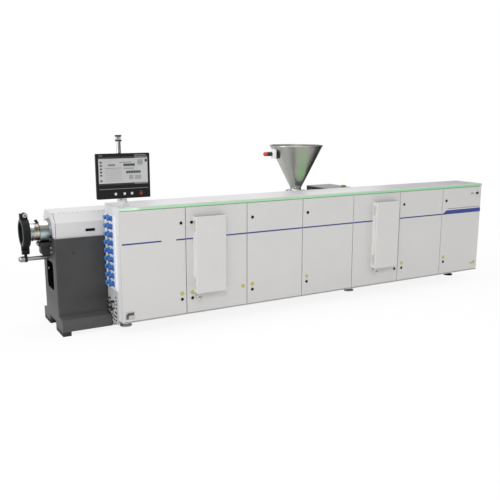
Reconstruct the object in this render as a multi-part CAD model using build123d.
import os

from build123d import *

# Plastic extruder, in millimetres. The machine runs along X, with its discharge end at low X.
# Door faces lie in the plane Y = 0, the barrel lies behind the cabinet, and the floor is Z = 0.

# Cabinet
bay_count = 7
bay_pitch = 800.0
end_inset = 28.0
cabinet_depth = 500.0
cabinet_base_z = 160.0
cabinet_floor_t = 8.0
roof_top_z = 1457.0
roof_t = 12.0
light_strip_h = 27.0
light_strip_t = 18.0
light_strip_proud = 2.0
end_wall_t = 12.0
back_wall_t = 12.0
upright_w = 44.0
upright_d = 40.0

# Doors and their hinges
door_hinge_sides = ("left", "right", "right", "right", "left", "right", "right")
door_t = 22.0
door_sheet = 3.0
door_lip_w = 16.0
door_side_gap = 8.0
door_end_gap = 6.0
door_back_gap = 5.0
door_edge_w = 2.5
hinge_inset = 6.0
hinge_pin_r = 3.0
hinge_bore_clearance = 0.3
hinge_block_h = 20.0
hinge_pin_engagement = 16.0
hinge_shoulder_r = 5.5
seat_clearance = 0.3
lock_from_edge = 66.0
lock_r = 14.0
lock_proud = 3.0
lock_core_w = 8.0
lock_low_z = 349.0
lock_high_z = 1238.0

# Cooling units on the doors, each beside the lock side of its door
cooling_door_indices = (1, 4)
cooling_unit_w = 382.0
cooling_unit_d = 90.0
cooling_unit_z0 = 410.0
cooling_unit_z1 = 1308.0
cooling_unit_from_seam = 92.0
cooling_edge_w = 5.0
cooling_cover_t = 26.0
cooling_seam_t = 4.0
cooling_seam_depth = 5.0
cooling_slot_count = 6
cooling_slot_pitch = 22.0
cooling_slot_h = 8.0
cooling_slot_depth = 12.0
cooling_slot_first = 60.0
drain_r = 12.0
drain_length = 26.0
drain_from_side = 40.0

# Main switch on the last door
main_switch_from_edge = 101.0
main_switch_z = 1322.0
main_switch_plate_w = 58.0
main_switch_plate_t = 5.0
main_switch_knob_r = 19.0
main_switch_knob_t = 22.0
main_switch_grip_w = 10.0
main_switch_grip_t = 14.0

# Left end of the cabinet
socket_panel_from_back = 17.0
socket_panel_w = 347.0
socket_panel_z0 = 503.0
socket_panel_z1 = 1343.0
socket_panel_t = 14.0
socket_rows = 9
socket_row_pitch = 93.0
socket_top_z = 1314.0
socket_columns_from_back = (148.0, 264.0)
socket_base_w = 66.0
socket_base_h = 62.0
socket_base_t = 12.0
socket_corner_w = 8.0
socket_body_r = 25.0
socket_body_t = 30.0
socket_lid_r = 29.0
socket_lid_t = 10.0
socket_latch_w = 18.0
socket_latch_reach = 14.0
connector_plate_t = 8.0
connector_plate_z0 = 109.0
connector_proud = 30.0
connector_corner_w = 5.0
connector_places = ((100.0, 350.0, 34.0, 60.0), (100.0, 290.0, 34.0, 44.0), (225.0, 319.0, 36.0, 96.0),
                    (100.0, 232.0, 36.0, 56.0), (174.0, 225.0, 34.0, 52.0))

# Operator panel and its post
pedestal_x = 127.0
pedestal_y = 178.0
post_x = 110.0
post_y = 188.0
pedestal_base_r = 74.0
pedestal_top_r = 52.0
pedestal_foot_h = 34.0
pedestal_flange_t = 10.0
pedestal_h = 74.0
post_r = 23.0
post_top_z = 2151.0
post_head_r = 35.0
post_head_disc_t = 15.0
post_head_h = 68.0
post_neck_r = 16.0
panel_x = 127.0
panel_w = 600.0
panel_z0 = 1543.0
panel_h = 484.0
panel_reach = 88.0
panel_t = 34.0
panel_corner_r = 10.0
panel_back_inset = 70.0
panel_back_t = 4.0
screen_rise = 152.0
screen_h = 298.0
screen_inset = 26.0
screen_recess = 3.0
panel_divider_rise = 104.0
panel_divider_h = 6.0
collar_r = 36.0
collar_h = 36.0
collar_clearance = 0.3
collar_low_rise = 117.0
collar_high_rise = 357.0
bracket_w = 60.0
stop_ring_r = 31.0
stop_ring_h = 14.0
button_rise = 52.0
buttons_from_left = (204.0, 304.0, 386.0)
button_r = 15.0
button_ring_t = 4.0
button_cap_r = 11.0
button_cap_t = 9.0
stop_from_left = 491.0
stop_base_r = 28.0
stop_base_t = 6.0
stop_stem_r = 13.0
stop_stem_t = 14.0
stop_cap_r = 22.0
stop_cap_t = 14.0

# Barrel, and the head at its discharge end
axis_z = 1138.0
head_bore_r = 45.0
barrel_neck_r = 99.0
barrel_neck_l = 85.0
barrel_groove_r = 84.0
barrel_groove_l = 6.0
barrel_hub_r = 121.0
barrel_flange_r = 144.0
head_bore_depth = 80.0
barrel_collar_r = 90.0
barrel_collar_l = 62.0
barrel_shoulder_r = 116.0
barrel_shoulder_gap = 12.0
barrel_body_r = 100.0
head_edge_w = 5.0
barrel_end_x = 2700.0
lifting_lug_inset = 12.0
lifting_lug_r = 10.0
lifting_lug_h = 46.0

# Clamp that holds the next machine's flange to the head, in two halves on a hinge pin
clamp_from_base = 260.0
clamp_w = 80.0
clamp_wall = 17.5
clamp_bore_clearance = 0.5
clamp_lip_w = 16.0
clamp_lip_clearance = 1.5
clamp_edge_w = 9.0
clamp_split_gap = 1.0
clamp_lug_w = 34.0
clamp_lug_rise = 33.0
clamp_lug_depth = 50.0
clamp_boss_r = 29.0
clamp_boss_offset = 10.0
clamp_ear_w = 20.0
clamp_hole_clearance = 3.5
clamp_bolt_r = 12.0
clamp_bolt_head_r = 21.0
clamp_bolt_head_t = 18.0
hinge_drop = 216.0
clamp_pin_r = 10.0
knuckle_r = 34.0
knuckle_w = 25.0
knuckle_gap = 1.0
knuckle_bridge_gap = 5.0
hanger_t = 28.0
hanger_w = 44.0
hanger_eye_r = 36.0
rod_drop = 302.0
rod_r = 24.0
rod_clearance = 0.3
rod_cap_r = 34.0
rod_cap_l = 64.7
rod_cap_edge_w = 20.0
rod_seat_depth = 60.0

# Barrel cover
cover_from_base = 13.0
cover_from_barrel_end = 10.0
cover_drop = 58.0
cover_rise = 225.0
cover_slope_h = 109.0
cover_half_w = 267.0
cover_top_half_w = 179.0
cover_sheet = 5.0
cover_plate_t = 6.0
cover_arch_half_w = 141.0
cover_handle_from_end = 344.0
cover_handle_w = 110.0
cover_handle_h = 28.0
cover_handle_drop = 84.0
cover_handle_depth = 3.0

# Cast base under the barrel
base_x0 = -551.0
base_from_barrel_end = 20.0
base_half_w = 292.0
base_from_cabinet = 9.0
base_corner_r = 14.0
frame_half_w = 445.0
skirt_back_half_w = 420.0
skirt_z0 = 50.0
skirt_top_z = 198.0
skirt_back_top_z = 156.0
skirt_slope_h = 9.0
base_slot_half_w = 150.0
base_slot_z0 = 465.0
base_slot_z1 = 790.0
base_slot_depth = 90.0
base_slot_r = 45.0
arch_half_w = 140.0
arch_top_z = 108.0
arch_depth = 160.0
barrel_channel_side = 35.0
barrel_channel_drop = 18.0
saddle_w = 80.0
saddles_from_end = (151.0, 1451.0, 2751.0)
nose_half_w = 52.0
nose_reach = 98.0
nose_rise = 27.0
nose_h = 112.0
nose_corner_r = 40.0
shelf_half_w = 88.0
shelf_reach = 122.0
shelf_gap = 3.0
shelf_corner_r = 30.0
pad_l = 96.0

# Machine frame and feet
frame_rail_w = 120.0
frame_cross_bays = (2, 4, 6)
foot_r = 70.0
foot_t = 26.0
foot_stem_r = 14.0
foot_left_inset = 176.0
foot_mid_bay = 4
foot_mid_offset = 298.0
foot_right_inset = 128.0
foot_inset = 75.0

# Feed section and hopper
hopper_from_barrel_end = 117.0
feed_housing_l = 300.0
feed_housing_half_w = 150.0
feed_housing_top_z = 1330.0
feed_support_half_w = 110.0
feed_neck_r = 92.0
feed_flange_r = 138.0
feed_flange_t = 16.0
hopper_rim_r = 357.0
hopper_rim_z = 2036.0
hopper_neck_r = 75.0
hopper_neck_h = 50.0
hopper_base_z = 1413.0
hopper_flange_r = 138.0
hopper_flange_t = 14.0
hopper_wall = 3.0
hopper_bead_r = 7.0
sensor_from_hopper = 360.0
sensor_below_rim = 109.0
sensor_box_l = 48.0
sensor_box_w = 72.0
sensor_box_h = 122.0
sensor_box_edge_w = 4.0
sensor_bracket_w = 40.0
sensor_r = 21.0
sensor_length = 82.0
sensor_neck_r = 14.0
sensor_neck_l = 8.0

# Drive
drive_deck_z = 560.0
gear_gap = 18.0
gear_l = 262.0
gear_half_w = 270.0
gear_foot_half_w = 320.0
gear_foot_t = 30.0
gear_top_z = 1372.0
gear_corner_r = 30.0
gear_rib_t = 16.0
gear_rib_count = 4
gear_joint_t = 26.0
hood_gap = 9.0
hood_l = 425.0
hood_w = 712.0
hood_slot_offset = 60.0
hood_top_z = 1432.0
hood_edge_r = 12.0
hood_slot_count = 12
hood_slot_w = 22.0
hood_slot_h = 90.0
hood_slot_pitch = 48.0
hood_slot_depth = 8.0
hood_slot_top_z = 1395.0
motor_gap = 10.0
motor_l = 1286.0
motor_drop = 112.0
motor_r = 225.0
motor_fin_count = 28
motor_fin_h = 26.0
motor_fin_t = 7.0
motor_bell_r = 262.0
motor_bell_t = 60.0
motor_cowl_l = 200.0
motor_box_l = 330.0
motor_box_w = 260.0
motor_box_h = 130.0
motor_box_overlap = 40.0
motor_foot_w = 80.0

# Sizes worked out from the ones above
cabinet_x0 = end_inset
cabinet_x1 = bay_count * bay_pitch - end_inset
roof_z0 = roof_top_z - roof_t
light_strip_z0 = roof_z0 - light_strip_h
cabinet_floor_z = cabinet_base_z + cabinet_floor_t
door_z0 = cabinet_floor_z + door_end_gap
door_z1 = light_strip_z0 - door_end_gap
frame_front_y = door_t + door_back_gap
axis_y = cabinet_depth + base_from_cabinet + base_half_w
socket_panel_y1 = cabinet_depth - socket_panel_from_back
socket_panel_y0 = socket_panel_y1 - socket_panel_w
frame_x0 = cabinet_x0
frame_x1 = cabinet_x1 - end_inset
frame_y0 = axis_y - frame_half_w
frame_y1 = axis_y + frame_half_w
panel_left_x = panel_x - panel_w / 2
panel_face_y = post_y - panel_reach
collar_low_z = panel_z0 + collar_low_rise
collar_high_z = panel_z0 + collar_high_rise
screen_z0 = panel_z0 + screen_rise
screen_z1 = screen_z0 + screen_h
button_z = panel_z0 + button_rise
panel_divider_z = panel_z0 + panel_divider_rise
stop_button_x = panel_left_x + stop_from_left
skirt_x1 = cabinet_x0 - connector_plate_t
clamp_x = base_x0 - clamp_from_base
clamp_x0 = clamp_x - clamp_w / 2
clamp_x1 = clamp_x + clamp_w / 2
clamp_bore_r = barrel_flange_r + clamp_bore_clearance
clamp_lip_r = barrel_hub_r + clamp_lip_clearance
clamp_r = clamp_bore_r + clamp_wall
clamp_boss_x = clamp_x + clamp_boss_offset
clamp_bolt_height = clamp_r + clamp_lug_rise
clamp_lug_root = clamp_r - clamp_lug_depth
hinge_z = axis_z - hinge_drop
rod_z = axis_z - rod_drop
rod_tip_x = clamp_x - hanger_t / 2 - seat_clearance - rod_cap_l
head_collar_x0 = clamp_x1 + barrel_neck_l
head_shoulder_x0 = head_collar_x0 + barrel_collar_l
barrel_channel_half_w = barrel_body_r + barrel_channel_side
barrel_channel_floor_z = axis_z - barrel_body_r - barrel_channel_drop
cover_x0 = base_x0 + cover_from_base
cover_x1 = barrel_end_x - cover_from_barrel_end
cover_z0 = axis_z - cover_drop
cover_top_z = axis_z + cover_rise
cover_shoulder_z = cover_top_z - cover_slope_h
base_x1 = barrel_end_x - base_from_barrel_end
cover_handle_x0 = cover_x0 + cover_handle_from_end
nose_z0 = rod_z + nose_rise
nose_z1 = nose_z0 + nose_h
shelf_z1 = axis_z - barrel_shoulder_r - shelf_gap
hopper_x = barrel_end_x + hopper_from_barrel_end
sensor_box_x = hopper_x - sensor_from_hopper
sensor_box_z = hopper_rim_z - sensor_below_rim
gear_x0 = barrel_end_x + feed_housing_l + gear_gap
gear_x1 = gear_x0 + gear_l
hood_x0 = gear_x1 + hood_gap
hood_x1 = hood_x0 + hood_l
hood_y0 = cabinet_depth + hood_gap
hood_y1 = hood_y0 + hood_w
motor_x0 = hood_x1 + motor_gap
motor_x1 = motor_x0 + motor_l
motor_z = axis_z - motor_drop
foot_mid_x = foot_mid_bay * bay_pitch + foot_mid_offset
foot_xs = (cabinet_x0 + foot_left_inset, foot_mid_x, cabinet_x1 - foot_right_inset)
origin = Vector((rod_tip_x + cabinet_x1) / 2, (frame_y1 - cooling_unit_d) / 2, 0)


def slab(x0, x1, y0, y1, z0, z1):
    """A box between two corners."""
    centre = Pos((x0 + x1) / 2, (y0 + y1) / 2, (z0 + z1) / 2)
    return centre * Box(x1 - x0, y1 - y0, z1 - z0)


def round_x(x0, x1, y, z, radius):
    """A round bar along X."""
    return Pos((x0 + x1) / 2, y, z) * Rot(0, 90, 0) * Cylinder(radius, x1 - x0)


def round_y(y0, y1, x, z, radius):
    """A round bar along Y."""
    return Pos(x, (y0 + y1) / 2, z) * Rot(90, 0, 0) * Cylinder(radius, y1 - y0)


def round_z(z0, z1, x, y, radius):
    """A round bar along Z."""
    return Pos(x, y, (z0 + z1) / 2) * Cylinder(radius, z1 - z0)


def profile_along_x(points, x0, x1):
    """An outline of (y, z) points, extruded along X."""
    face = make_face(Polyline(*points, close=True))
    return extrude(Plane.YZ.offset(x0) * face, amount=x1 - x0)


def turned_z(points, x, y):
    """An outline of (radius, z) points, turned about an upright axis."""
    face = make_face(Polyline(*points, close=True))
    return Pos(x, y, 0) * revolve(Plane.XZ * face, axis=Axis.Z)


def turned_on_barrel_axis(points):
    """An outline of (x, radius) points, turned about the barrel axis."""
    face = make_face(Polyline(*points, close=True))
    return Pos(0, axis_y, axis_z) * revolve(Plane.XZ * face, axis=Axis.X)


# Cabinet

def cabinet_floor():
    return slab(cabinet_x0, cabinet_x1, 0, cabinet_depth, cabinet_base_z, cabinet_floor_z)


def cabinet_roof():
    return slab(cabinet_x0, cabinet_x1, 0, cabinet_depth, roof_z0, roof_top_z)


def cabinet_back_wall():
    y0 = cabinet_depth - back_wall_t
    x0 = cabinet_x0 + end_wall_t
    x1 = cabinet_x1 - end_wall_t
    return slab(x0, x1, y0, cabinet_depth, cabinet_floor_z, roof_z0)


def cabinet_end_walls():
    return [slab(x0, x0 + end_wall_t, frame_front_y, cabinet_depth, cabinet_floor_z, roof_z0)
            for x0 in (cabinet_x0, cabinet_x1 - end_wall_t)]


def cabinet_uprights():
    posts = []
    for bay in range(1, bay_count):
        x = bay * bay_pitch
        posts.append(slab(x - upright_w / 2, x + upright_w / 2, frame_front_y, frame_front_y + upright_d,
                          cabinet_floor_z, roof_z0))
    return posts


def light_strip():
    bar = slab(cabinet_x0, cabinet_x1, -light_strip_proud, light_strip_t - light_strip_proud,
               light_strip_z0, roof_z0)
    front_edges = bar.faces().sort_by(Axis.Y)[0].edges().filter_by(Axis.X)
    return chamfer(front_edges, light_strip_proud)


# Doors

def door_span(index):
    x0 = cabinet_x0 if index == 0 else index * bay_pitch + door_side_gap / 2
    x1 = cabinet_x1 if index == bay_count - 1 else (index + 1) * bay_pitch - door_side_gap / 2
    return x0, x1


def hinge_x(index):
    x0, x1 = door_span(index)
    return x0 + hinge_inset if door_hinge_sides[index] == "left" else x1 - hinge_inset


def lock_x(index):
    x0, x1 = door_span(index)
    return x1 - lock_from_edge if door_hinge_sides[index] == "left" else x0 + lock_from_edge


def door(index):
    x0, x1 = door_span(index)
    pan = slab(x0, x1, 0, door_t, door_z0, door_z1)
    pan = chamfer(pan.faces().sort_by(Axis.Y)[0].edges(), door_edge_w)
    pan -= slab(x0 + door_sheet, x1 - door_sheet, door_sheet, door_t - door_sheet,
                door_z0 + door_sheet, door_z1 - door_sheet)
    pan -= slab(x0 + door_lip_w, x1 - door_lip_w, door_sheet, door_t,
                door_z0 + door_lip_w, door_z1 - door_lip_w)
    pan = add_hinge_blocks(pan, index)
    for z in (lock_low_z, lock_high_z):
        pan = add_lock(pan, lock_x(index), z)
    return pan


def add_hinge_blocks(pan, index):
    """A bored block in the top and the bottom corner on the hinge side."""
    x = hinge_x(index)
    half = hinge_inset - door_sheet / 2
    for z0, z1 in ((door_z0, door_z0 + hinge_block_h), (door_z1 - hinge_block_h, door_z1)):
        pan += slab(x - half, x + half, hinge_inset - half, hinge_inset + half,
                    z0 + door_edge_w, z1 - door_edge_w)
        pan -= round_z(z0, z1, x, hinge_inset, hinge_pin_r + hinge_bore_clearance)
    return pan


def add_lock(pan, x, z):
    disc = round_y(-lock_proud, door_sheet, x, z, lock_r)
    half = lock_core_w / 2
    key_way = slab(x - half, x + half, -lock_proud, 0, z - half, z + half)
    return pan + (disc - key_way)


def hinge_pins():
    pins = []
    for index in range(bay_count):
        x = hinge_x(index)
        low = round_z(cabinet_floor_z, door_z0 + hinge_pin_engagement, x, hinge_inset, hinge_pin_r)
        low += round_z(cabinet_floor_z, door_z0 - seat_clearance, x, hinge_inset, hinge_shoulder_r)
        high = round_z(door_z1 - hinge_pin_engagement, light_strip_z0, x, hinge_inset, hinge_pin_r)
        pins += [low, high]
    return pins


def cooling_unit(index):
    lock_left = door_hinge_sides[index] == "right"
    seam = index * bay_pitch if lock_left else (index + 1) * bay_pitch
    x0 = seam + cooling_unit_from_seam if lock_left else seam - cooling_unit_from_seam - cooling_unit_w
    x1 = x0 + cooling_unit_w
    y0 = -cooling_unit_d
    body = slab(x0, x1, y0, 0, cooling_unit_z0, cooling_unit_z1)
    front = body.faces().sort_by(Axis.Y)[0]
    body = chamfer(list(body.edges().filter_by(Axis.Y)) + list(front.edges()), cooling_edge_w)
    seam_y = y0 + cooling_cover_t
    band = slab(x0, x1, seam_y, seam_y + cooling_seam_t, cooling_unit_z0, cooling_unit_z1)
    inner = slab(x0 + cooling_seam_depth, x1 - cooling_seam_depth, seam_y, seam_y + cooling_seam_t,
                 cooling_unit_z0 + cooling_seam_depth, cooling_unit_z1 - cooling_seam_depth)
    body -= band - inner
    for step in range(cooling_slot_count):
        for z in (cooling_unit_z0 + cooling_slot_first + step * cooling_slot_pitch,
                  cooling_unit_z1 - cooling_slot_first - step * cooling_slot_pitch):
            for side_x in (x0, x1):
                body -= slab(side_x - cooling_slot_depth, side_x + cooling_slot_depth,
                             seam_y + 2 * cooling_seam_t, -2 * cooling_seam_t,
                             z - cooling_slot_h / 2, z + cooling_slot_h / 2)
    drain = round_z(cooling_unit_z0 - drain_length, cooling_unit_z0 + drain_r,
                    x0 + drain_from_side, y0 / 2, drain_r)
    return body + drain


def main_switch():
    x = cabinet_x1 - main_switch_from_edge
    half = main_switch_plate_w / 2
    z = main_switch_z
    plate = slab(x - half, x + half, -main_switch_plate_t, 0, z - half, z + half)
    knob_y = -main_switch_plate_t - main_switch_knob_t
    knob = round_y(knob_y, -main_switch_plate_t, x, z, main_switch_knob_r)
    grip = slab(x - main_switch_grip_w / 2, x + main_switch_grip_w / 2, knob_y - main_switch_grip_t, knob_y,
                z - main_switch_knob_r, z + main_switch_knob_r)
    return plate + knob + grip


# Left end of the cabinet

def socket_panel():
    return slab(cabinet_x0 - socket_panel_t, cabinet_x0, socket_panel_y0, socket_panel_y1,
                socket_panel_z0, socket_panel_z1)


def power_socket(y, z):
    face_x = cabinet_x0 - socket_panel_t
    base = slab(face_x - socket_base_t, face_x, y - socket_base_w / 2, y + socket_base_w / 2,
                z - socket_base_h / 2, z + socket_base_h / 2)
    base = chamfer(base.edges().filter_by(Axis.X), socket_corner_w)
    body_x = face_x - socket_base_t - socket_body_t
    body = round_x(body_x, face_x - socket_base_t, y, z, socket_body_r)
    lid = round_x(body_x - socket_lid_t, body_x, y, z, socket_lid_r)
    lid += slab(body_x - socket_lid_t, body_x, y - socket_lid_r - socket_latch_reach, y,
                z - socket_latch_w / 2, z + socket_latch_w / 2)
    return base + body + lid


def power_sockets():
    return [power_socket(cabinet_depth - from_back, socket_top_z - row * socket_row_pitch)
            for from_back in socket_columns_from_back for row in range(socket_rows)]


def connector_plate():
    return slab(cabinet_x0 - connector_plate_t, cabinet_x0, socket_panel_y0, socket_panel_y1,
                connector_plate_z0, socket_panel_z0)


def signal_connectors():
    face_x = cabinet_x0 - connector_plate_t
    connectors = []
    for from_back, z, width, height in connector_places:
        y = cabinet_depth - from_back
        shell = slab(face_x - connector_proud, face_x, y - width / 2, y + width / 2,
                     z - height / 2, z + height / 2)
        connectors.append(chamfer(shell.edges().filter_by(Axis.X), connector_corner_w))
    return connectors


# Operator panel

def operator_pedestal():
    z0 = roof_top_z
    z1 = z0 + pedestal_flange_t
    z2 = z0 + pedestal_foot_h
    z3 = z0 + pedestal_h
    return turned_z(((0, z0), (pedestal_base_r, z0), (pedestal_base_r, z1), (pedestal_top_r, z2),
                     (pedestal_top_r, z3), (0, z3)), pedestal_x, pedestal_y)


def signal_post():
    z0 = roof_top_z + pedestal_h
    stop_z1 = collar_low_z - seat_clearance
    post = round_z(z0, post_top_z, post_x, post_y, post_r)
    post += round_z(stop_z1 - stop_ring_h, stop_z1, post_x, post_y, stop_ring_r)
    z1 = post_top_z
    z2 = z1 + post_head_disc_t
    z4 = z1 + post_head_h
    z3 = z4 - post_head_disc_t
    middle = (z2 + z3) / 2
    head = turned_z(((0, z1), (post_head_r, z1), (post_head_r, z2), (post_neck_r, middle),
                     (post_head_r, z3), (post_head_r, z4), (0, z4)), post_x, post_y)
    return post + head


def panel_housing():
    x0 = panel_left_x
    x1 = x0 + panel_w
    y1 = panel_face_y + panel_t
    z1 = panel_z0 + panel_h
    case = slab(x0, x1, panel_face_y, y1, panel_z0, z1)
    case = fillet(case.edges().filter_by(Axis.Y), panel_corner_r)
    case -= slab(x0 + screen_inset, x1 - screen_inset, panel_face_y, panel_face_y + screen_recess,
                 screen_z0, screen_z1)
    case -= slab(x0 + screen_inset, x1 - screen_inset, panel_face_y, panel_face_y + screen_recess,
                 panel_divider_z, panel_divider_z + panel_divider_h)
    case += slab(x0 + panel_back_inset, x1 - panel_back_inset, y1, y1 + panel_back_t,
                 panel_z0 + panel_back_inset, z1 - panel_back_inset)
    return case


def panel_bracket():
    plate_y = panel_face_y + panel_t + panel_back_t
    bore_r = post_r + collar_clearance
    collars = []
    for z in (collar_low_z, collar_high_z):
        collar = round_z(z, z + collar_h, post_x, post_y, collar_r)
        collar += slab(post_x - bracket_w / 2, post_x + bracket_w / 2, plate_y, post_y, z, z + collar_h)
        collars.append(collar - round_z(z, z + collar_h, post_x, post_y, bore_r))
    return collars


def panel_screen():
    x0 = panel_left_x + screen_inset
    x1 = panel_left_x + panel_w - screen_inset
    return slab(x0, x1, panel_face_y, panel_face_y + screen_recess, screen_z0, screen_z1)


def push_buttons():
    buttons = []
    for from_left in buttons_from_left:
        x = panel_left_x + from_left
        ring_y = panel_face_y - button_ring_t
        ring = round_y(ring_y, panel_face_y, x, button_z, button_r)
        cap = round_y(ring_y - button_cap_t, ring_y, x, button_z, button_cap_r)
        buttons.append(ring + cap)
    return buttons


def emergency_stop():
    base_y = panel_face_y - stop_base_t
    stem_y = base_y - stop_stem_t
    base = round_y(base_y, panel_face_y, stop_button_x, button_z, stop_base_r)
    stem = round_y(stem_y, base_y, stop_button_x, button_z, stop_stem_r)
    cap = round_y(stem_y - stop_cap_t, stem_y, stop_button_x, button_z, stop_cap_r)
    cap = chamfer(cap.edges().sort_by(Axis.Y)[0], stop_cap_t / 2)
    return base + stem + cap


# Barrel and clamp

def barrel():
    lip_x1 = clamp_x1 - clamp_lip_w - clamp_bore_clearance
    groove_x0 = head_collar_x0 - barrel_groove_l
    shoulder_x1 = cover_x0 - barrel_shoulder_gap
    edge = head_edge_w
    shape = turned_on_barrel_axis((
        (clamp_x, 0), (clamp_x, barrel_flange_r), (lip_x1, barrel_flange_r), (lip_x1, barrel_hub_r),
        (clamp_x1, barrel_hub_r), (clamp_x1, barrel_neck_r), (groove_x0 - edge, barrel_neck_r),
        (groove_x0, barrel_neck_r - edge), (groove_x0, barrel_groove_r), (head_collar_x0, barrel_groove_r),
        (head_collar_x0, barrel_collar_r), (head_shoulder_x0, barrel_collar_r),
        (head_shoulder_x0, barrel_shoulder_r - edge), (head_shoulder_x0 + edge, barrel_shoulder_r),
        (shoulder_x1, barrel_shoulder_r), (shoulder_x1, barrel_body_r), (barrel_end_x, barrel_body_r),
        (barrel_end_x, 0)))
    lug_x = head_collar_x0 + lifting_lug_inset
    lug = round_z(axis_z, axis_z + barrel_collar_r + lifting_lug_h, lug_x, axis_y, lifting_lug_r)
    return shape + lug - round_x(clamp_x, clamp_x + head_bore_depth, axis_y, axis_z, head_bore_r)


def clamp_half(side):
    """One half of the ring with its lug and its knuckle; side is -1 in front, +1 at the back."""
    ring = round_x(clamp_x0, clamp_x1, axis_y, axis_z, clamp_r)
    ring = chamfer(ring.edges().sort_by(Axis.X)[0], clamp_edge_w)
    split = axis_y + side * clamp_split_gap / 2
    half = ring + clamp_lug(side, split)
    cut_y0, cut_y1 = sorted((split, axis_y - side * 2 * clamp_r))
    half -= slab(clamp_x0, clamp_x1, cut_y0, cut_y1, axis_z - 2 * clamp_r, axis_z + 2 * clamp_r)
    half += clamp_knuckle(side, split)
    half -= round_x(clamp_x0, clamp_x1, axis_y, axis_z, clamp_lip_r)
    half -= round_x(clamp_x0 + clamp_lip_w, clamp_x1 - clamp_lip_w, axis_y, axis_z, clamp_bore_r)
    return half - round_x(clamp_x0, clamp_x1, axis_y, hinge_z, clamp_pin_r + rod_clearance)


def clamp_lug(side, split):
    """The boss for the bolt and the ear beside it, on top of the ring."""
    y0, y1 = sorted((split, axis_y + side * clamp_lug_w))
    top = axis_z + clamp_bolt_height
    root = axis_z + clamp_lug_root
    lug = slab(clamp_boss_x - clamp_boss_r, clamp_boss_x + clamp_boss_r, y0, y1, root, top)
    lug += round_y(y0, y1, clamp_boss_x, top, clamp_boss_r)
    return lug + slab(clamp_x0, clamp_x0 + clamp_ear_w, y0, y1, root, top + clamp_ear_w)


def clamp_knuckle(side, split):
    """The knuckle beside the hanger, its web, and the bridge over the other half's knuckle."""
    inner = hanger_t / 2 + knuckle_gap
    x0, x1 = sorted((clamp_x - side * inner, clamp_x - side * (inner + knuckle_w)))
    y0, y1 = sorted((split, axis_y + side * knuckle_r))
    bridge_z = hinge_z + knuckle_r + knuckle_bridge_gap
    web = slab(x0, x1, y0, y1, hinge_z, axis_z - clamp_bore_r)
    bridge = slab(clamp_x0, clamp_x1, y0, y1, bridge_z, axis_z - clamp_bore_r)
    return round_x(x0, x1, axis_y, hinge_z, knuckle_r) + web + bridge


def bolt_hole(y0, y1, radius):
    return round_y(y0, y1, clamp_boss_x, axis_z + clamp_bolt_height, radius)


def clamp_half_front():
    return clamp_half(-1) - bolt_hole(axis_y - clamp_lug_w, axis_y, clamp_bolt_r)


def clamp_half_rear():
    return clamp_half(1) - bolt_hole(axis_y, axis_y + clamp_lug_w, clamp_bolt_r + clamp_hole_clearance)


def clamp_bolt():
    head_y = axis_y - clamp_lug_w
    shank = bolt_hole(head_y, axis_y + clamp_lug_w, clamp_bolt_r)
    head = bolt_hole(head_y - clamp_bolt_head_t, head_y, clamp_bolt_head_r)
    return shank + head


def clamp_hanger():
    """The plate that hangs on the rod and carries the hinge pin of the two halves."""
    x0 = clamp_x - hanger_t / 2
    x1 = clamp_x + hanger_t / 2
    plate = slab(x0, x1, axis_y - hanger_w / 2, axis_y + hanger_w / 2, rod_z, hinge_z)
    plate += round_x(x0, x1, axis_y, rod_z, hanger_eye_r)
    plate += round_x(x0, x1, axis_y, hinge_z, knuckle_r)
    pin_reach = hanger_t / 2 + knuckle_gap + knuckle_w
    plate += round_x(clamp_x - pin_reach, clamp_x + pin_reach, axis_y, hinge_z, clamp_pin_r)
    return plate - round_x(x0, x1, axis_y, rod_z, rod_r + rod_clearance)


def clamp_rod():
    rod = round_x(rod_tip_x, base_x0 + rod_seat_depth, axis_y, rod_z, rod_r)
    cap = round_x(rod_tip_x, rod_tip_x + rod_cap_l, axis_y, rod_z, rod_cap_r)
    return rod + chamfer(cap.edges().sort_by(Axis.X)[0], rod_cap_edge_w)


def cover_outline(inset):
    half = cover_half_w - inset
    top_half = cover_top_half_w - inset
    top = cover_top_z - inset
    return ((axis_y - half, cover_z0), (axis_y - half, cover_shoulder_z), (axis_y - top_half, top),
            (axis_y + top_half, top), (axis_y + half, cover_shoulder_z), (axis_y + half, cover_z0))


def barrel_cover():
    x0 = cover_x0 + cover_plate_t
    x1 = cover_x1 - cover_plate_t
    shell = profile_along_x(cover_outline(0), x0, x1) - profile_along_x(cover_outline(cover_sheet), x0, x1)
    front = axis_y - cover_half_w
    top = cover_shoulder_z - cover_handle_drop
    return shell - slab(cover_handle_x0, cover_handle_x0 + cover_handle_w, front, front + cover_handle_depth,
                        top - cover_handle_h, top)


def cover_end_plates():
    arch_low = slab(cover_x0, cover_x1, axis_y - cover_arch_half_w, axis_y + cover_arch_half_w,
                    cover_z0, axis_z)
    arch = arch_low + round_x(cover_x0, cover_x1, axis_y, axis_z, cover_arch_half_w)
    plates = []
    for x0 in (cover_x0, cover_x1 - cover_plate_t):
        plates.append(profile_along_x(cover_outline(0), x0, x0 + cover_plate_t) - arch)
    return plates


# Base, frame and feet

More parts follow.
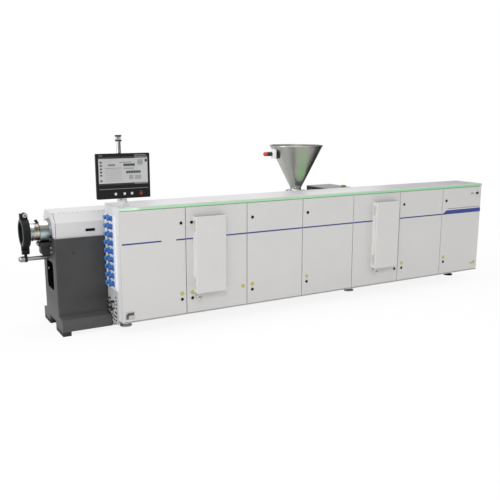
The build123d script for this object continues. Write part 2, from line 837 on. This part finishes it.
def base_pedestal():
    body = slab(base_x0, base_x1, axis_y - base_half_w, axis_y + base_half_w, cabinet_base_z, cover_z0)
    body = fillet(body.edges().filter_by(Axis.Z), base_corner_r)
    base = body + base_skirt() + base_nose()
    base -= slab(base_x0, base_x0 + arch_depth, axis_y - arch_half_w, axis_y + arch_half_w,
                 skirt_z0, arch_top_z)
    slot = slab(base_x0, base_x0 + base_slot_depth, axis_y - base_slot_half_w, axis_y + base_slot_half_w,
                base_slot_z0, base_slot_z1)
    base -= fillet(slot.edges().filter_by(Axis.X), base_slot_r)
    base -= slab(base_x0, base_x1, axis_y - barrel_channel_half_w, axis_y + barrel_channel_half_w,
                 barrel_channel_floor_z, cover_z0)
    for from_end in saddles_from_end:
        x = base_x0 + from_end
        saddle = slab(x - saddle_w / 2, x + saddle_w / 2, axis_y - barrel_channel_half_w,
                      axis_y + barrel_channel_half_w, barrel_channel_floor_z, cover_z0)
        base += saddle - round_x(base_x0, base_x1, axis_y, axis_z, barrel_body_r + seat_clearance)
    return base - round_x(rod_tip_x, base_x0 + rod_seat_depth, axis_y, rod_z, rod_r)


def base_skirt():
    """The foot of the casting, higher and wider towards the front."""
    front = axis_y - frame_half_w
    back = axis_y + skirt_back_half_w
    outline = ((front, skirt_z0), (front, skirt_top_z - skirt_slope_h), (axis_y - base_half_w, skirt_top_z),
               (axis_y + base_half_w, skirt_back_top_z), (back, skirt_back_top_z - skirt_slope_h),
               (back, skirt_z0))
    return profile_along_x(outline, base_x0, skirt_x1)


def base_nose():
    """The cast bracket on the end of the base, and the shelf above it, under the head."""
    nose = slab(base_x0 - nose_reach, base_x0, axis_y - nose_half_w, axis_y + nose_half_w, nose_z0, nose_z1)
    end_edges = nose.edges().filter_by(Axis.Y).sort_by(Axis.X)[0:2]
    nose = fillet(end_edges.sort_by(Axis.Z)[0], nose_corner_r)
    shelf = slab(base_x0 - shelf_reach, base_x0, axis_y - shelf_half_w, axis_y + shelf_half_w,
                 nose_z1, shelf_z1)
    return nose + fillet(shelf.edges().filter_by(Axis.Z).sort_by(Axis.X)[0:2], shelf_corner_r)


def frame_rails():
    return [slab(frame_x0, frame_x1, y0, y0 + frame_rail_w, skirt_z0, cabinet_base_z)
            for y0 in (frame_y0, frame_y1 - frame_rail_w)]


def frame_crossmembers():
    half = frame_rail_w / 2
    y0 = frame_y0 + frame_rail_w
    y1 = frame_y1 - frame_rail_w
    return [slab(x - half, x + half, y0, y1, skirt_z0, cabinet_base_z)
            for x in (frame_x0 + half, *(bay * bay_pitch for bay in frame_cross_bays), frame_x1 - half)]


def drive_bed():
    return slab(base_x1, motor_x1, hood_y0, hood_y1, cabinet_base_z, drive_deck_z)


def levelling_feet():
    feet = []
    for x in foot_xs:
        for y in (frame_y0 + foot_inset, frame_y1 - foot_inset):
            foot = round_z(0, foot_t, x, y, foot_r)
            feet.append(foot + round_z(foot_t, skirt_z0, x, y, foot_stem_r))
    for y0, y1 in ((frame_y0, axis_y - arch_half_w), (axis_y + arch_half_w, axis_y + skirt_back_half_w)):
        feet.append(slab(base_x0, base_x0 + pad_l, y0, y1, 0, skirt_z0))
    return feet


# Feed section and hopper

def feed_housing():
    x0 = barrel_end_x
    x1 = x0 + feed_housing_l
    half = feed_housing_half_w
    block = slab(x0, x1, axis_y - half, axis_y + half, axis_z - half, feed_housing_top_z)
    block = fillet(block.edges().filter_by(Axis.X), gear_corner_r)
    block += slab(x0 + gear_corner_r, x1 - gear_corner_r, axis_y - feed_support_half_w,
                  axis_y + feed_support_half_w, drive_deck_z, axis_z)
    top = hopper_base_z
    block += round_z(axis_z, top, hopper_x, axis_y, feed_neck_r)
    block += round_z(top - feed_flange_t, top, hopper_x, axis_y, feed_flange_r)
    return block - round_z(axis_z, top, hopper_x, axis_y, hopper_neck_r - hopper_wall)


def hopper_cone():
    z0 = hopper_base_z
    z1 = z0 + hopper_flange_t
    z2 = z0 + hopper_neck_h
    z3 = hopper_rim_z
    wall = hopper_wall
    shell = turned_z(((hopper_neck_r - wall, z0), (hopper_flange_r, z0), (hopper_flange_r, z1),
                      (hopper_neck_r, z1), (hopper_neck_r, z2), (hopper_rim_r, z3),
                      (hopper_rim_r - wall, z3), (hopper_neck_r - wall, z2 + wall)), hopper_x, axis_y)
    bead_z0 = z3 - 2 * hopper_bead_r
    rim = turned_z(((hopper_rim_r - wall, bead_z0), (hopper_rim_r + wall, bead_z0),
                    (hopper_rim_r + wall, z3), (hopper_rim_r - wall, z3)), hopper_x, axis_y)
    return shell + rim


def sensor_box():
    x = sensor_box_x
    z = sensor_box_z
    half_w = sensor_box_w / 2
    box = slab(x - sensor_box_l / 2, x + sensor_box_l / 2, axis_y - half_w, axis_y + half_w,
               z - sensor_box_h / 2, z + sensor_box_h / 2)
    return chamfer(box.edges().filter_by(Axis.X), sensor_box_edge_w)


def sensor_bracket():
    """A wedge that fills the space between the sensor box and the wall of the cone."""
    x0 = sensor_box_x + sensor_box_l / 2
    z0 = sensor_box_z - sensor_box_h / 2
    z1 = sensor_box_z + sensor_box_h / 2
    cone_z0 = hopper_base_z + hopper_neck_h
    slope = (hopper_rim_r - hopper_neck_r) / (hopper_rim_z - cone_z0)
    neck_x = hopper_x - hopper_neck_r - seat_clearance
    walls = [neck_x - slope * (z - cone_z0) for z in (z0, z1)]
    side = make_face(Polyline((x0, z0), (walls[0], z0), (walls[1], z1), (x0, z1), close=True))
    return extrude(Plane.XZ.offset(-axis_y - sensor_bracket_w / 2) * side, amount=sensor_bracket_w)


def level_sensor():
    x1 = sensor_box_x - sensor_box_l / 2
    x0 = x1 - sensor_neck_l
    neck = round_x(x0, x1, axis_y, sensor_box_z, sensor_neck_r)
    return neck + round_x(x1 - sensor_length, x0, axis_y, sensor_box_z, sensor_r)


# Drive

def gear_unit():
    half = gear_half_w
    body = slab(gear_x0, gear_x1, axis_y - half, axis_y + half, drive_deck_z, gear_top_z)
    body = fillet(body.edges().filter_by(Axis.X), gear_corner_r)
    foot_half = gear_foot_half_w - gear_corner_r
    body += slab(gear_x0, gear_x1, axis_y - foot_half, axis_y + foot_half,
                 drive_deck_z, drive_deck_z + gear_foot_t)
    body += slab(gear_x0, gear_x1, axis_y - half - gear_rib_t, axis_y + half + gear_rib_t,
                 axis_z - gear_joint_t / 2, axis_z + gear_joint_t / 2)
    pitch = (gear_x1 - gear_x0 - gear_rib_t) / (gear_rib_count - 1)
    for number in range(gear_rib_count):
        x0 = gear_x0 + number * pitch
        body += slab(x0, x0 + gear_rib_t, axis_y - half - gear_rib_t, axis_y + half + gear_rib_t,
                     drive_deck_z, gear_top_z - 2 * gear_corner_r)
    return body


def drive_hood():
    hood = slab(hood_x0, hood_x1, hood_y0, hood_y1, drive_deck_z, hood_top_z)
    hood = fillet(hood.faces().sort_by(Axis.Z)[-1].edges(), hood_edge_r)
    first_y = axis_y + hood_slot_offset - (hood_slot_count - 1) * hood_slot_pitch / 2
    for number in range(hood_slot_count):
        y = first_y + number * hood_slot_pitch
        hood -= slab(hood_x0, hood_x0 + hood_slot_depth, y - hood_slot_w / 2, y + hood_slot_w / 2,
                     hood_slot_top_z - hood_slot_h, hood_slot_top_z)
    return hood


def drive_motor():
    cowl_x0 = motor_x1 - motor_cowl_l
    motor = round_x(motor_x0, cowl_x0, axis_y, motor_z, motor_r)
    motor += round_x(motor_x0, motor_x0 + motor_bell_t, axis_y, motor_z, motor_bell_r)
    motor += round_x(cowl_x0, motor_x1, axis_y, motor_z, motor_bell_r)
    for number in range(motor_fin_count):
        angle = number * 360 / motor_fin_count
        fin = slab(motor_x0 + motor_bell_t, cowl_x0, -motor_fin_t / 2, motor_fin_t / 2,
                   motor_r - motor_fin_h, motor_r + motor_fin_h)
        motor += Pos(0, axis_y, motor_z) * Rot(angle, 0, 0) * fin
    for side in (-1, 1):
        y0, y1 = sorted((axis_y + side * motor_r, axis_y + side * (motor_r - motor_foot_w)))
        motor += slab(motor_x0 + motor_bell_t, cowl_x0, y0, y1, drive_deck_z, motor_z)
    box_x0 = motor_x0 + motor_bell_t + motor_foot_w
    motor += slab(box_x0, box_x0 + motor_box_l, axis_y + motor_r - motor_box_overlap,
                  axis_y + motor_r + motor_box_h, motor_z - motor_box_w / 2, motor_z + motor_box_w / 2)
    return motor


def all_nodes():
    nodes = {
        "cabinet_floor": cabinet_floor(), "cabinet_roof": cabinet_roof(),
        "cabinet_back_wall": cabinet_back_wall(),
        "cabinet_end_walls": cabinet_end_walls(),
        "cabinet_uprights": cabinet_uprights(), "light_strip": light_strip(), "hinge_pins": hinge_pins(),
        "main_switch": main_switch(), "socket_panel": socket_panel(), "power_sockets": power_sockets(),
        "connector_plate": connector_plate(), "signal_connectors": signal_connectors(),
        "operator_pedestal": operator_pedestal(), "signal_post": signal_post(),
        "panel_housing": panel_housing(), "panel_bracket": panel_bracket(), "panel_screen": panel_screen(),
        "push_buttons": push_buttons(), "emergency_stop": emergency_stop(),
        "barrel": barrel(), "clamp_half_front": clamp_half_front(), "clamp_half_rear": clamp_half_rear(),
        "clamp_bolt": clamp_bolt(), "clamp_hanger": clamp_hanger(), "clamp_rod": clamp_rod(),
        "barrel_cover": barrel_cover(), "cover_end_plates": cover_end_plates(),
        "base_pedestal": base_pedestal(), "machine_frame": frame_rails() + frame_crossmembers(),
        "drive_bed": drive_bed(),
        "levelling_feet": levelling_feet(), "feed_housing": feed_housing(), "hopper_cone": hopper_cone(),
        "sensor_box": sensor_box() + sensor_bracket(), "level_sensor": level_sensor(),
        "gear_unit": gear_unit(), "drive_hood": drive_hood(), "drive_motor": drive_motor(),
    }
    for index in range(bay_count):
        nodes[f"door_{index + 1}"] = door(index)
    for number, index in enumerate(cooling_door_indices, start=1):
        nodes[f"cooling_unit_{number}"] = cooling_unit(index)
    return nodes


os.makedirs("parts", exist_ok=True)
for name, shape in all_nodes().items():
    solids = shape if isinstance(shape, list) else [shape]
    placed = Compound([solid.moved(Location(-origin)) for piece in solids for solid in piece.solids()])
    export_step(placed, f"parts/{name}.step")
